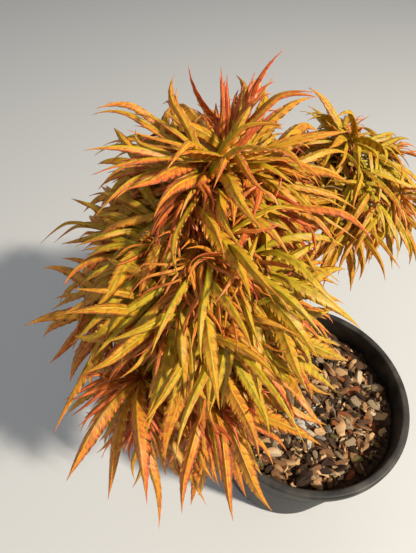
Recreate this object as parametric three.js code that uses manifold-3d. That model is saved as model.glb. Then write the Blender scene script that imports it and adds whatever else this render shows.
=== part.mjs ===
// A dwarf japanese maple in its round nursery pot: a leaning trunk, boughs, and tufts of long narrow
// leaves that make a domed crown over the pot's left side, with a smaller side crown behind it.
// Millimetres, +Z up, +X to the right and -Y to the front, from the middle of the pot's underside.

import * as THREE from 'three';
import { mergeVertices } from 'three/addons/utils/BufferGeometryUtils.js';
import Module from 'manifold-3d';

const wasm = await Module();
wasm.setup();

// Driving dimensions: the pot
const POT_HEIGHT = 165;
const RIM_RADIUS = 82.5;
const BASE_RADIUS = 62;
const POT_WALL = 2;
const POT_FLOOR = 3;
const POT_SIDES = 40;
const BASE_BEVEL = 3;
const ROLL_OUT = 4;
const ROLL_DROP = 9;
const ROLL_ROUND = 1.5;
const DRAIN_COUNT = 6;
const DRAIN_WIDTH = 16;
const DRAIN_DEPTH = 11;
const DRAIN_HEIGHT = 9;

// Driving dimensions: the bark mulch in the pot
const MULCH_DROP = 20;
const MULCH_RINGS = 5;
const MULCH_SIDES = 30;
const MULCH_BUMP = 2.4;
const MULCH_WAVE = { x: 0.11, y: 0.13, start: 1 };
const MULCH_RIPPLE = { x: 0.31, y: 0.27, share: 0.5 };
const MULCH_LEVEL_RADIUS = 29;
const MULCH_ROUGH_RADIUS = 46;

// Driving dimensions: trunk and limbs
const CLEAR = 0.3;
const TRUNK_FOOT = new THREE.Vector3(-14, 6, POT_HEIGHT - MULCH_DROP + CLEAR);
const TRUNK_FORK = new THREE.Vector3(-72, 35, 238);
const TRUNK_RISE = new THREE.Vector3(0, 0, 40);
const TRUNK_ARRIVE = new THREE.Vector3(-12, 5, 38);
const TRUNK_STEPS = 10;
const TRUNK_SIDES = 10;
const TRUNK_FOOT_RADIUS = 7;
const TRUNK_FORK_RADIUS = 4.6;
const ROOT_FLARE = 5.5;
const ROOT_FLARE_FADE = 14;
const ROOT_RIDGES = 5;
const ROOT_RIDGE_SHARE = 0.22;
const LEADER_TIP = new THREE.Vector3(-67, 41, 318);
const LEADER_TIP_RADIUS = 2;
const LEADER_SWEEP = 26;
const LONG_LIMB_STEPS = 8;
const LONG_LIMB_SIDES = 8;
const SIDE_BOUGH_TIP = new THREE.Vector3(13, 78, 289);
const SIDE_BOUGH_START = 0.95;
const SIDE_BOUGH_RADIUS = 3.4;
const SIDE_BOUGH_TIP_RADIUS = 2.1;
const BOUGH_STEPS = 4;
const BOUGH_SIDES = 6;
const BOUGH_RADIUS = 2.7;
const BOUGH_SHARE = 0.8;
const BOUGH_TIP_RADIUS = 1.6;
const BOUGH_REACH = 0.6;
const BOUGH_BEND = 0.32;
const BOUGH_RISE = 0.12;
const STEM_STEPS = 2;
const STEM_SIDES = 5;
const STEM_REACH = 0.4;
const TWIG_ROOT = 0.85;

// Driving dimensions: the crowns, each a dome that the leaf tufts sit on
const MAIN_CROWN = {
  centre: new THREE.Vector3(-97, 30, 272),
  radii: new THREE.Vector3(40, 78, 88),
  lean: 0.27,
  slopeFront: 0.2,
  slopeRear: -0.2,
};
const SIDE_CROWN = {
  centre: new THREE.Vector3(20, 98, 297),
  radii: new THREE.Vector3(33, 32, 22),
  lean: 0,
  slopeFront: 0.4,
  slopeRear: 0.4,
};
const SHOULDER = 1.5;

// Driving dimensions: twigs and leaves
const SHOOT_RISE = 0.45;
const LEAF_SEED = 4171;
const TUFT_SEED_STEP = 101;
const TUFT_TURN = 71;
const LEAVES_PER_TUFT = 5;
const LEAF_TRIES = 60;
const FEWEST_LOBES = 3;
const TWIG_SIDES = 3;
const TWIG_RADIUS = 1.5;
const TWIG_TIP_RADIUS = 1.1;
const STALK_RADIUS = 0.85;
const STALK_LENGTH = [5, 10];
const STALK_SUNK = 0.2;
const LEAFY_LENGTH = 15;
const TIP_TILT = 24;
const SPREAD_TILT = 98;
const GOLDEN_TURN = 137.5;
const FIRST_SHARE = 0.3;
const GOLDEN_SHARE = 0.618;
const TURN_JITTER = 16;
const TILT_JITTER = 9;
const ROLL_JITTER = 22;
const LEAF_SAG = 0.5;
const BLADE_LEAN = 0.25;
const LOBE_LENGTH = [56, 72];
const LOBE_ANGLES = [-62, -32, 0, 32, 62];
const LOBE_SHARES = [0.66, 0.92, 1, 0.92, 0.66];
const LOBE_WIDTH = 0.16;
const LOBE_WIDEST = 0.48;
const LOBE_FOLD = 0.35;
const LOBE_ARCH = [0.06, 0.22];
const LOBE_DROOP = [0.28, 0.64];
const UPRIGHT_DROOP = 0.3;
const LOBE_STATIONS = [0.12, 0.21, 0.3, 0.39, LOBE_WIDEST, 0.57, 0.65, 0.74, 0.82, 0.91, 1];
const SINUS_SHARE = 0.17;
const YOUNG_SHARE = 0.82;
const RIB_HEIGHT = 1.1;
const SHORTER_TRIES = [1, 0.86, 0.72];
const DRAPE = 0.5;
const SPACE_MARGIN = 1;
const LIMB_BEADS = 40;
const LIMB_MARGIN = 1.6;
const POT_MARGIN = 2.5;
const LEAF_APART = 2;

const UP = new THREE.Vector3(0, 0, 1);
const EAST = new THREE.Vector3(1, 0, 0);
const ACROSS = new THREE.Vector3(0.3, 1, 0.1);
const STEEP = 0.9;
const MERGE_WITHIN = 1e-4;
const rad = THREE.MathUtils.degToRad;

// Solids and meshes

function toSolid(geometry) {
  const bare = geometry.clone();
  bare.deleteAttribute('normal');
  bare.deleteAttribute('uv');
  const merged = mergeVertices(bare, MERGE_WITHIN);
  return new wasm.Manifold(new wasm.Mesh({
    numProp: 3,
    vertProperties: new Float32Array(merged.attributes.position.array),
    triVerts: new Uint32Array(merged.index.array),
  }));
}

function toGeometry(solid) {
  const mesh = solid.getMesh();
  const geometry = new THREE.BufferGeometry();
  geometry.setAttribute('position', new THREE.BufferAttribute(mesh.vertProperties, 3));
  geometry.setIndex(new THREE.BufferAttribute(mesh.triVerts, 1));
  const flat = geometry.toNonIndexed();
  flat.computeVertexNormals();
  return flat;
}

// The biggest connected body: this drops loose scraps and fills hollows that a join has sealed
function mainBody(solid) {
  return solid.decompose().reduce((best, body) => (body.volume() > best.volume() ? body : best));
}

// A closed body from rings of points with equal counts, a cap centre at each end
function ringBody(rings, firstCentre, lastCentre) {
  const sides = rings[0].length;
  const points = [firstCentre, ...rings.flat(), lastCentre];
  const last = points.length - 1;
  const index = [];
  const at = (ring, side) => 1 + ring * sides + (side % sides);
  for (let side = 0; side < sides; side += 1) {
    index.push(0, at(0, side + 1), at(0, side));
    index.push(last, at(rings.length - 1, side), at(rings.length - 1, side + 1));
    for (let ring = 0; ring + 1 < rings.length; ring += 1) {
      index.push(at(ring, side), at(ring, side + 1), at(ring + 1, side + 1));
      index.push(at(ring, side), at(ring + 1, side + 1), at(ring + 1, side));
    }
  }
  const geometry = new THREE.BufferGeometry().setFromPoints(points);
  geometry.setIndex(index);
  return geometry;
}

// A seeded stream of numbers from 0 to 1
function seeded(seed) {
  let state = seed >>> 0;
  return () => {
    state = (state + 0x6d2b79f5) >>> 0;
    let value = Math.imul(state ^ (state >>> 15), state | 1);
    value ^= value + Math.imul(value ^ (value >>> 7), value | 61);
    return ((value ^ (value >>> 14)) >>> 0) / 4294967296;
  };
}

function between([low, high], share) {
  return low + (high - low) * share;
}

// Pot: a thin tapering shell with a rolled rim and drain slots round the foot

function potSolid() {
  const wallTop = RIM_RADIUS - ROLL_OUT;
  const profile = [
    [0, 0],
    [BASE_RADIUS - BASE_BEVEL, 0],
    [BASE_RADIUS, BASE_BEVEL],
    [wallTop, POT_HEIGHT - ROLL_DROP],
    [RIM_RADIUS - ROLL_ROUND / 2, POT_HEIGHT - ROLL_DROP],
    [RIM_RADIUS, POT_HEIGHT - ROLL_DROP + ROLL_ROUND],
    [RIM_RADIUS, POT_HEIGHT - ROLL_ROUND],
    [RIM_RADIUS - ROLL_ROUND, POT_HEIGHT],
    [wallTop - POT_WALL + ROLL_ROUND, POT_HEIGHT],
    [wallTop - POT_WALL, POT_HEIGHT - ROLL_ROUND],
    [BASE_RADIUS - POT_WALL, POT_FLOOR],
    [0, POT_FLOOR],
  ];
  const lathe = new THREE.LatheGeometry(profile.map(([r, z]) => new THREE.Vector2(r, z)), POT_SIDES);
  lathe.rotateX(Math.PI / 2);
  let shell = toSolid(lathe);
  for (let slot = 0; slot < DRAIN_COUNT; slot += 1) {
    const cutter = new THREE.BoxGeometry(2 * DRAIN_DEPTH, DRAIN_WIDTH, 2 * DRAIN_HEIGHT);
    cutter.translate(BASE_RADIUS, 0, 0);
    cutter.rotateZ((slot / DRAIN_COUNT) * 2 * Math.PI);
    shell = shell.subtract(toSolid(cutter));
  }
  return mainBody(shell);
}

// Bark mulch: fills the pot to a little under the rim, with an uneven top that is level under the trunk

function mulchHeight(x, y) {
  const fromFoot = Math.hypot(x - TRUNK_FOOT.x, y - TRUNK_FOOT.y);
  const uneven = THREE.MathUtils.smoothstep(fromFoot, MULCH_LEVEL_RADIUS, MULCH_ROUGH_RADIUS);
  const waves = Math.sin(x * MULCH_WAVE.x + MULCH_WAVE.start) * Math.cos(y * MULCH_WAVE.y);
  const ripples = MULCH_RIPPLE.share * Math.sin(x * MULCH_RIPPLE.x - y * MULCH_RIPPLE.y);
  return POT_HEIGHT - MULCH_DROP + uneven * MULCH_BUMP * (waves + ripples);
}

function mulchSolid() {
  const foot = POT_FLOOR + CLEAR;
  const slope = (RIM_RADIUS - ROLL_OUT - BASE_RADIUS) / (POT_HEIGHT - ROLL_ROUND - POT_FLOOR);
  const footRadius = BASE_RADIUS - POT_WALL - 2 * CLEAR;
  const lowest = POT_HEIGHT - MULCH_DROP - 2 * MULCH_BUMP;
  const ring = (radius, height) => Array.from({ length: MULCH_SIDES }, (_, side) => {
    const angle = (side / MULCH_SIDES) * 2 * Math.PI;
    const x = radius * Math.cos(angle);
    const y = radius * Math.sin(angle);
    return new THREE.Vector3(x, y, height ?? mulchHeight(x, y));
  });
  const edge = footRadius + slope * (lowest - foot);
  const rings = [ring(footRadius, foot), ring(edge, lowest)];
  for (let step = MULCH_RINGS; step > 0; step -= 1) {
    rings.push(ring((edge * step) / MULCH_RINGS));
  }
  const top = new THREE.Vector3(0, 0, mulchHeight(0, 0));
  return toSolid(ringBody(rings, new THREE.Vector3(0, 0, foot), top));
}

// Limbs: tapering bodies of rings along a curve, with flat ends

function limbRings(curve, radiusAt, steps, sides) {
  const rings = [];
  let across = null;
  for (let step = 0; step <= steps; step += 1) {
    const t = step / steps;
    const along = curve.getTangent(t);
    if (!across) across = (Math.abs(along.z) > STEEP ? EAST : UP).clone();
    across.addScaledVector(along, -across.dot(along)).normalize();
    const third = new THREE.Vector3().crossVectors(along, across);
    const centre = curve.getPoint(t);
    rings.push(Array.from({ length: sides }, (_, side) => {
      const angle = (side / sides) * 2 * Math.PI;
      const radius = radiusAt(t, angle);
      return centre.clone()
        .addScaledVector(across, radius * Math.cos(angle))
        .addScaledVector(third, radius * Math.sin(angle));
    }));
  }
  return rings;
}

function limbSolid(limb, grow = 0) {
  const radiusAt = (t, angle) => limb.radiusAt(t, angle) + grow;
  const rings = limbRings(limb.curve, radiusAt, limb.steps, limb.sides);
  return toSolid(ringBody(rings, limb.curve.getPoint(0), limb.curve.getPoint(1)));
}

function taper(from, to) {
  return (t) => from + (to - from) * t;
}

// A bough springs from its parent's core, rises a little and bends out to its tip
function boughCurve(start, tip) {
  const span = start.distanceTo(tip);
  const out = tip.clone().sub(start);
  const first = start.clone().addScaledVector(out, BOUGH_BEND).addScaledVector(UP, BOUGH_RISE * span);
  const second = tip.clone().addScaledVector(out, -BOUGH_BEND).addScaledVector(UP, (BOUGH_RISE / 2) * span);
  return new THREE.CubicBezierCurve3(start, first, second, tip);
}

const trunk = {
  name: 'trunk',
  curve: new THREE.CubicBezierCurve3(
    TRUNK_FOOT,
    TRUNK_FOOT.clone().add(TRUNK_RISE),
    TRUNK_FORK.clone().sub(TRUNK_ARRIVE),
    TRUNK_FORK,
  ),
  steps: TRUNK_STEPS,
  sides: TRUNK_SIDES,
  radiusAt(t, angle = 0) {
    const height = this.curve.getPoint(t).z - TRUNK_FOOT.z;
    const flare = Math.exp(-height / ROOT_FLARE_FADE);
    const ridge = 1 + ROOT_RIDGE_SHARE * flare * Math.cos(ROOT_RIDGES * angle);
    return (taper(TRUNK_FOOT_RADIUS, TRUNK_FORK_RADIUS)(t) + ROOT_FLARE * flare) * ridge;
  },
};

const leader = (() => {
  const along = trunk.curve.getTangent(1);
  const foot = TRUNK_FORK.clone().addScaledVector(along, CLEAR);
  const first = foot.clone().addScaledVector(along, LEADER_SWEEP);
  const second = LEADER_TIP.clone().addScaledVector(UP, -LEADER_SWEEP);
  return {
    name: 'bough_leader',
    curve: new THREE.CubicBezierCurve3(foot, first, second, LEADER_TIP),
    steps: LONG_LIMB_STEPS,
    sides: LONG_LIMB_SIDES,
    radiusAt: taper(TRUNK_FORK_RADIUS, LEADER_TIP_RADIUS),
  };
})();

const sideBough = {
  name: 'bough_side',
  parent: trunk,
  curve: boughCurve(trunk.curve.getPoint(SIDE_BOUGH_START), SIDE_BOUGH_TIP),
  steps: LONG_LIMB_STEPS,
  sides: LONG_LIMB_SIDES,
  radiusAt: taper(SIDE_BOUGH_RADIUS, SIDE_BOUGH_TIP_RADIUS),
};

// Masses of foliage: named groups of neighbouring tufts, the limb that each one's bough springs from and
// the size of its leaves. A tuft is placed by its height angle on the crown's dome and its turn, 0 at the
// front and 90 at the right.
const ring = (height, turns) => turns.map((turn) => ({ height, turn }));
const MASSES = [
  {
    name: 'crown_top',
    limb: leader,
    at: 1,
    leafScale: 0.95,
    places: [...ring(90, [0]), ...ring(66, [-68, 88]), ...ring(50, [150, 212])],
  },
  {
    name: 'front',
    limb: leader,
    at: 0.12,
    leafScale: 1.05,
    places: [...ring(56, [-20]), ...ring(48, [34]), ...ring(31, [-26, 16])],
  },
  {
    name: 'right',
    limb: leader,
    at: 0.36,
    leafScale: 1,
    places: [...ring(46, [80, 126]), ...ring(26, [52, 98])],
  },
  {
    name: 'rear',
    limb: leader,
    at: 0.24,
    leafScale: 1,
    places: [...ring(46, [172, 218]), ...ring(26, [144, 190])],
  },
  {
    name: 'left',
    limb: leader,
    at: 0.48,
    leafScale: 0.9,
    places: [...ring(46, [264, 306]), ...ring(26, [236, 282])],
  },
  { name: 'foot_front', limb: trunk, at: 0.7, leafScale: 1.15, places: ring(1, [-30, 18]) },
  { name: 'foot_right', limb: trunk, at: 0.62, leafScale: 1.15, places: ring(1, [54, 86]) },
  { name: 'foot_rear', limb: trunk, at: 0.78, leafScale: 1.15, places: ring(1, [136, 182]) },
  { name: 'foot_left', limb: trunk, at: 0.86, leafScale: 1.06, places: ring(3, [248, 296]) },
  {
    name: 'side_front',
    limb: sideBough,
    at: 1,
    leafScale: 0.72,
    places: [...ring(80, [180]), ...ring(12, [0, 60])],
  },
  { name: 'side_rear', limb: sideBough, at: 0.8, leafScale: 0.72, places: ring(12, [120, 180, 240]) },
];
for (const mass of MASSES) mass.crown = mass.limb === sideBough ? SIDE_CROWN : MAIN_CROWN;

function crownPoint(crown, height, turn) {
  const level = Math.cos(rad(height));
  const y = -crown.radii.y * level * Math.cos(rad(turn));
  const z = crown.radii.z * Math.sin(rad(height));
  const x = crown.radii.x * level ** SHOULDER * Math.sin(rad(turn)) + crown.lean * z;
  const slope = y > 0 ? crown.slopeRear : crown.slopeFront;
  return new THREE.Vector3(x, y, z + slope * y).add(crown.centre);
}

function shootDirection(height, turn) {
  const level = Math.cos(rad(height));
  const away = new THREE.Vector3(level * Math.sin(rad(turn)), -level * Math.cos(rad(turn)), 0);
  return away.addScaledVector(UP, Math.sin(rad(height)) + SHOOT_RISE).normalize();
}

let tuftCount = 0;
for (const mass of MASSES) {
  mass.tufts = mass.places.map(({ height, turn }) => {
    tuftCount += 1;
    return {
      mass,
      number: tuftCount,
      level: Math.cos(rad(height)),
      tip: crownPoint(mass.crown, height, turn),
      shoot: shootDirection(height, turn),
    };
  });
  const middle = mass.tufts.reduce((sum, tuft) => sum.add(tuft.tip), new THREE.Vector3())
    .divideScalar(mass.tufts.length);
  const start = mass.limb.curve.getPoint(mass.at);
  if (mass.at < 1) {
    const thickest = Math.min(BOUGH_RADIUS, BOUGH_SHARE * mass.limb.radiusAt(mass.at));
    mass.bough = {
      name: `bough_${mass.name}`,
      parent: mass.limb,
      curve: boughCurve(start, start.clone().lerp(middle, BOUGH_REACH)),
      steps: BOUGH_STEPS,
      sides: BOUGH_SIDES,
      radiusAt: taper(thickest, BOUGH_TIP_RADIUS),
    };
  }
  const carrier = mass.bough ?? mass.limb;
  const along = carrier.curve.getTangent(1);
  const foot = carrier.curve.getPoint(1).addScaledVector(along, CLEAR);
  mass.fork = foot.clone().lerp(middle, STEM_REACH);
  const reach = foot.distanceTo(mass.fork);
  mass.stem = {
    curve: new THREE.CubicBezierCurve3(
      foot,
      foot.clone().addScaledVector(along, reach / 3),
      mass.fork.clone().lerp(foot, 1 / 3),
      mass.fork,
    ),
    steps: STEM_STEPS,
    sides: STEM_SIDES,
    radiusAt: taper(carrier.radiusAt(1), TWIG_RADIUS),
  };
  for (const tuft of mass.tufts) {
    tuft.twigFoot = mass.stem.curve.getPoint(TWIG_ROOT);
  }
}

const tufts = MASSES.flatMap((mass) => mass.tufts);
const boughs = [leader, sideBough, ...MASSES.filter((mass) => mass.bough).map((mass) => mass.bough)];
const limbs = [trunk, ...boughs];

// Space: a point belongs to the mass whose tuft is nearest, and leaves keep clear of its borders.
// Heights are compared after a lift that grows outward, so that upper leaves drape over the lower masses.

function draped(point) {
  const away = Math.hypot(point.x - MAIN_CROWN.centre.x, point.y - MAIN_CROWN.centre.y);
  return point.clone().setZ(point.z + DRAPE * away);
}

for (const tuft of tufts) tuft.seat = draped(tuft.tip);

function insideSpace(point, mass) {
  const place = draped(point);
  let own = Infinity;
  let other = Infinity;
  for (const tuft of tufts) {
    const distance = tuft.seat.distanceTo(place);
    if (tuft.mass === mass) own = Math.min(own, distance);
    else other = Math.min(other, distance);
  }
  return other - own > 2 * SPACE_MARGIN;
}

const stems = MASSES.map((mass) => ({ ...mass.stem, mass }));
const twigs = tufts.map(({ mass, twigFoot, tip }) => (
  { mass, curve: new THREE.LineCurve3(twigFoot, tip), radiusAt: taper(TWIG_RADIUS, TWIG_TIP_RADIUS) }
));
const limbBeads = [...limbs, ...stems, ...twigs].flatMap((limb) => (
  Array.from({ length: LIMB_BEADS + 1 }, (_, bead) => {
    const t = bead / LIMB_BEADS;
    return { owner: limb.mass, centre: limb.curve.getPoint(t), radius: limb.radiusAt(t) };
  })
));

// Leaves keep clear of every limb and of the other masses' stems and twigs
function clearOfLimbs(point, mass) {
  return limbBeads.every(({ owner, centre, radius }) => (
    owner === mass || centre.distanceTo(point) > radius + LIMB_MARGIN
  ));
}

// Leaves keep off the rim too, and off the mulch inside it
function clearOfPot(point) {
  const fromAxis = Math.hypot(point.x, point.y);
  const inside = fromAxis < RIM_RADIUS - ROLL_OUT - POT_WALL - POT_MARGIN;
  const lowest = inside ? mulchHeight(point.x, point.y) : POT_HEIGHT;
  return point.z > lowest + POT_MARGIN || fromAxis > RIM_RADIUS + POT_MARGIN;
}

// Leaves: five long narrow lobes fanned from the end of a stalk, each folded like a roof along its rib

function lobePoint(leaf, angle, length, along, across, lift) {
  const outward = leaf.forward.clone().multiplyScalar(Math.cos(rad(angle)))
    .addScaledVector(leaf.side, Math.sin(rad(angle)));
  const crosswise = new THREE.Vector3().crossVectors(leaf.normal, outward);
  const bend = length * along * along;
  return leaf.hub.clone()
    .addScaledVector(outward, length * along)
    .addScaledVector(leaf.normal, lift - leaf.arch * bend - LOBE_FOLD * Math.abs(across))
    .addScaledVector(UP, -leaf.droop * bend)
    .addScaledVector(crosswise, across);
}

function leafRule(tuft, number, rand) {
  const share = (FIRST_SHARE + number * GOLDEN_SHARE) % 1;
  const turn = rad(number * GOLDEN_TURN + tuft.number * TUFT_TURN + TURN_JITTER * (2 * rand() - 1));
  const tilt = rad(TIP_TILT + (SPREAD_TILT - TIP_TILT) * share + TILT_JITTER * (2 * rand() - 1));
  const roll = rad(ROLL_JITTER * (2 * rand() - 1));
  const stalk = between(STALK_LENGTH, rand());
  const grown = YOUNG_SHARE + (1 - YOUNG_SHARE) * Math.min(1, 2 * share);
  const length = between(LOBE_LENGTH, rand()) * grown * tuft.mass.leafScale;
  const arch = between(LOBE_ARCH, rand());
  const droop = between(LOBE_DROOP, rand()) * between([UPRIGHT_DROOP, 1], tuft.level);
  const sideways = new THREE.Vector3().crossVectors(tuft.shoot, ACROSS).normalize();
  const third = new THREE.Vector3().crossVectors(tuft.shoot, sideways);
  const forward = tuft.shoot.clone().multiplyScalar(Math.cos(tilt))
    .addScaledVector(sideways, Math.sin(tilt) * Math.cos(turn))
    .addScaledVector(third, Math.sin(tilt) * Math.sin(turn))
    .addScaledVector(UP, -LEAF_SAG * share * tuft.level)
    .normalize();
  const facing = UP.clone().addScaledVector(tuft.shoot, BLADE_LEAN);
  const normal = facing.addScaledVector(forward, -facing.dot(forward)).normalize();
  normal.applyAxisAngle(forward, roll);
  const backward = tuft.twigFoot.clone().sub(tuft.tip).normalize();
  const root = tuft.tip.clone().addScaledVector(backward, LEAFY_LENGTH * share);
  const hub = root.clone().addScaledVector(forward, stalk);
  const side = new THREE.Vector3().crossVectors(normal, forward);
  return { root, hub, forward, normal, side, length, arch, droop };
}

// Points spread over a lobe, along its rib and both edges
function lobeSamples(leaf, angle, length) {
  const half = (LOBE_WIDTH / 2) * length;
  return LOBE_STATIONS.flatMap((along) => {
    const spread = half * Math.min(along / LOBE_WIDEST, (1 - along) / (1 - LOBE_WIDEST));
    return [-spread, 0, spread].map((across) => lobePoint(leaf, angle, length, along, across, 0));
  });
}

function lobeFits(leaf, mass, angle, length) {
  return lobeSamples(leaf, angle, length).every((point) => (
    insideSpace(point, mass)
    && clearOfPot(point)
    && clearOfLimbs(point, mass)
    && mass.taken.every((other) => other.distanceTo(point) > LEAF_APART)
  ));
}

// The run of neighbouring lobes that fit, each tried at its full length and then shorter
function fittingLobes(leaf, mass) {
  const lobes = LOBE_ANGLES.map((angle, place) => {
    const full = leaf.length * LOBE_SHARES[place];
    const share = SHORTER_TRIES.find((shorter) => lobeFits(leaf, mass, angle, full * shorter));
    return share ? { angle, length: full * share } : null;
  });
  let best = [];
  let run = [];
  for (const lobe of lobes) {
    run = lobe ? [...run, lobe] : [];
    if (run.length > best.length) best = run;
  }
  return best;
}

// One closed blade: the outline is shared by both faces, with a raised rib above and a flat underside
function bladeSolid(leaf, lobes) {
  const points = [];
  const index = [];
  const add = (point) => points.push(point) - 1;
  const step = LOBE_ANGLES[1] - LOBE_ANGLES[0];
  const sinus = (angle, length) => add(lobePoint(leaf, angle, length, SINUS_SHARE, 0, 0));
  const hubTop = add(leaf.hub.clone().addScaledVector(leaf.normal, RIB_HEIGHT));
  const hubUnder = add(leaf.hub.clone().addScaledVector(leaf.normal, -RIB_HEIGHT / 2));
  const first = sinus(lobes[0].angle - step / 2, lobes[0].length);
  let near = first;
  lobes.forEach((lobe, place) => {
    const next = lobes[place + 1] ?? lobe;
    const far = sinus(lobe.angle + step / 2, Math.min(lobe.length, next.length));
    const width = (LOBE_WIDTH / 2) * lobe.length;
    const left = add(lobePoint(leaf, lobe.angle, lobe.length, LOBE_WIDEST, -width, 0));
    const right = add(lobePoint(leaf, lobe.angle, lobe.length, LOBE_WIDEST, width, 0));
    const tip = add(lobePoint(leaf, lobe.angle, lobe.length, 1, 0, 0));
    const rib = add(lobePoint(leaf, lobe.angle, lobe.length, LOBE_WIDEST, 0, RIB_HEIGHT));
    const outline = [hubTop, near, left, tip, right, far, hubTop];
    for (let side = 0; side + 1 < outline.length; side += 1) {
      index.push(rib, outline[side], outline[side + 1]);
    }
    index.push(left, right, tip, near, right, left, near, far, right, near, hubUnder, far);
    near = far;
  });
  index.push(hubTop, hubUnder, first, hubTop, near, hubUnder);
  const geometry = new THREE.BufferGeometry().setFromPoints(points);
  geometry.setIndex(index);
  return toSolid(geometry);
}

function twigSolid(from, to, fromRadius, toRadius) {
  return limbSolid({
    curve: new THREE.LineCurve3(from, to),
    steps: 1,
    sides: TWIG_SIDES,
    radiusAt: taper(fromRadius, toRadius),
  });
}

// A mass: its stem, a twig to each tuft, and the leaves that keep to the mass's own space, fused together
function massSolid(mass) {
  const pieces = [limbSolid(mass.stem)];
  mass.taken = [];
  for (const tuft of mass.tufts) {
    const rand = seeded(LEAF_SEED + TUFT_SEED_STEP * tuft.number);
    pieces.push(twigSolid(tuft.twigFoot, tuft.tip, TWIG_RADIUS, TWIG_TIP_RADIUS));
    let leaves = 0;
    for (let number = 0; number < LEAF_TRIES && leaves < LEAVES_PER_TUFT; number += 1) {
      const leaf = leafRule(tuft, number, rand);
      const lobes = fittingLobes(leaf, mass);
      const hubFits = insideSpace(leaf.hub, mass) && clearOfLimbs(leaf.hub, mass);
      if (lobes.length >= FEWEST_LOBES && hubFits) {
        const deep = leaf.hub.clone().lerp(leaf.root, -STALK_SUNK);
        pieces.push(twigSolid(leaf.root, deep, STALK_RADIUS, STALK_RADIUS));
        pieces.push(bladeSolid(leaf, lobes));
        mass.taken.push(...lobes.flatMap((lobe) => lobeSamples(leaf, lobe.angle, lobe.length)));
        leaves += 1;
      }
    }
  }
  return mainBody(wasm.Manifold.union(pieces));
}

// The whole plant

const FINISH = {
  pot: { color: 0x17181a, roughness: 0.5, metalness: 0 },
  mulch: { color: 0x6b4d38, roughness: 0.95, metalness: 0 },
  bark: { color: 0x7a5a44, roughness: 0.85, metalness: 0 },
  leaf: { color: 0xd9792b, roughness: 0.55, metalness: 0 },
};

const plant = new THREE.Group();

function place(name, solid, finish) {
  const mesh = new THREE.Mesh(toGeometry(solid), new THREE.MeshStandardMaterial(finish));
  mesh.name = name;
  plant.add(mesh);
}

place('pot', potSolid(), FINISH.pot);
place('bark_mulch', mulchSolid(), FINISH.mulch);
place('trunk', limbSolid(trunk), FINISH.bark);
for (const bough of boughs) {
  const whole = limbSolid(bough);
  const seated = bough.parent ? mainBody(whole.subtract(limbSolid(bough.parent, CLEAR))) : whole;
  place(bough.name, seated, FINISH.bark);
}
for (const mass of MASSES) {
  place(`foliage_${mass.name}`, massSolid(mass), FINISH.leaf);
}

export default plant;
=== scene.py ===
"""The looks of a dwarf japanese maple in its black nursery pot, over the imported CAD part.

Shapes are worked out in millimetres, as in the part's source, and scaled to metres when a piece is made.
"""

import math

import bpy
import numpy as np
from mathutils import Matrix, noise


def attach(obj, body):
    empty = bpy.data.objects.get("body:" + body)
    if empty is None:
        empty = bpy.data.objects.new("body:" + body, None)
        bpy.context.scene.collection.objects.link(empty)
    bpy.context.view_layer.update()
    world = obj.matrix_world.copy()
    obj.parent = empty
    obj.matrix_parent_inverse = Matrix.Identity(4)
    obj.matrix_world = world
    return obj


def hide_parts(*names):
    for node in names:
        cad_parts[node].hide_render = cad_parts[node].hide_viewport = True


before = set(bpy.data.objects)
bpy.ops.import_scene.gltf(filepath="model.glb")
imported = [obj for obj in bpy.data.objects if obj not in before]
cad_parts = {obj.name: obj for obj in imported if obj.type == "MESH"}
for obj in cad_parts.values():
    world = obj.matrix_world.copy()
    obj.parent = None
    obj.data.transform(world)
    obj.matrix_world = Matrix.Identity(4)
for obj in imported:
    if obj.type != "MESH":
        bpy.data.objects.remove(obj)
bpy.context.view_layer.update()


# Trunk
# The leaning trunk of a young grafted tree, with a ridged foot where the roots start. Its bark is thin,
# grey-brown and a little fissured. It stands in the mulch and carries every bough.

MM = 0.001
TINY = 1e-9
UP = np.array([0.0, 0.0, 1.0])
EAST = np.array([1.0, 0.0, 0.0])
STEEP = 0.9
FULL_TURN = 2 * math.pi
CLEAR = 0.3
POT_HEIGHT = 165.0
MULCH_DROP = 20.0
TRUNK_FOOT = np.array([-14.0, 6.0, POT_HEIGHT - MULCH_DROP + CLEAR])
TRUNK_FORK = np.array([-72.0, 35.0, 238.0])
TRUNK_RISE = np.array([0.0, 0.0, 40.0])
TRUNK_ARRIVE = np.array([-12.0, 5.0, 38.0])
TRUNK_RADII = (7.0, 4.6)
TRUNK_ROOT_DEPTH = 6.0
ROOT_FLARE = 5.5
ROOT_FLARE_FADE = 14.0
ROOT_RIDGES = 5
ROOT_RIDGE_SHARE = 0.22


def unit(vector):
    """The vector, or each row of an array of them, at length 1."""
    return vector / np.maximum(np.linalg.norm(vector, axis=-1, keepdims=True), TINY)


def bezier(points, t):
    """Points on a cubic Bezier curve."""
    t = np.asarray(t, float)[..., None]
    a, b, c, d = points
    s = 1 - t
    return s**3 * a + 3 * s * s * t * b + 3 * s * t * t * c + t**3 * d


def bezier_slope(points, t):
    """Directions along a cubic Bezier curve."""
    t = np.asarray(t, float)[..., None]
    a, b, c, d = points
    s = 1 - t
    return unit(s * s * (b - a) + 2 * s * t * (c - b) + t * t * (d - c))


def seeded(seed):
    """A seeded stream of numbers from 0 to 1, the same stream as in the part's source."""
    mask = 0xFFFFFFFF
    state = seed & mask

    def draw():
        nonlocal state
        state = (state + 0x6D2B79F5) & mask
        value = ((state ^ (state >> 15)) * (state | 1)) & mask
        value ^= (value + (((value ^ (value >> 7)) * (value | 61)) & mask)) & mask
        return (value ^ (value >> 14)) / (mask + 1)

    return draw


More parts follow.
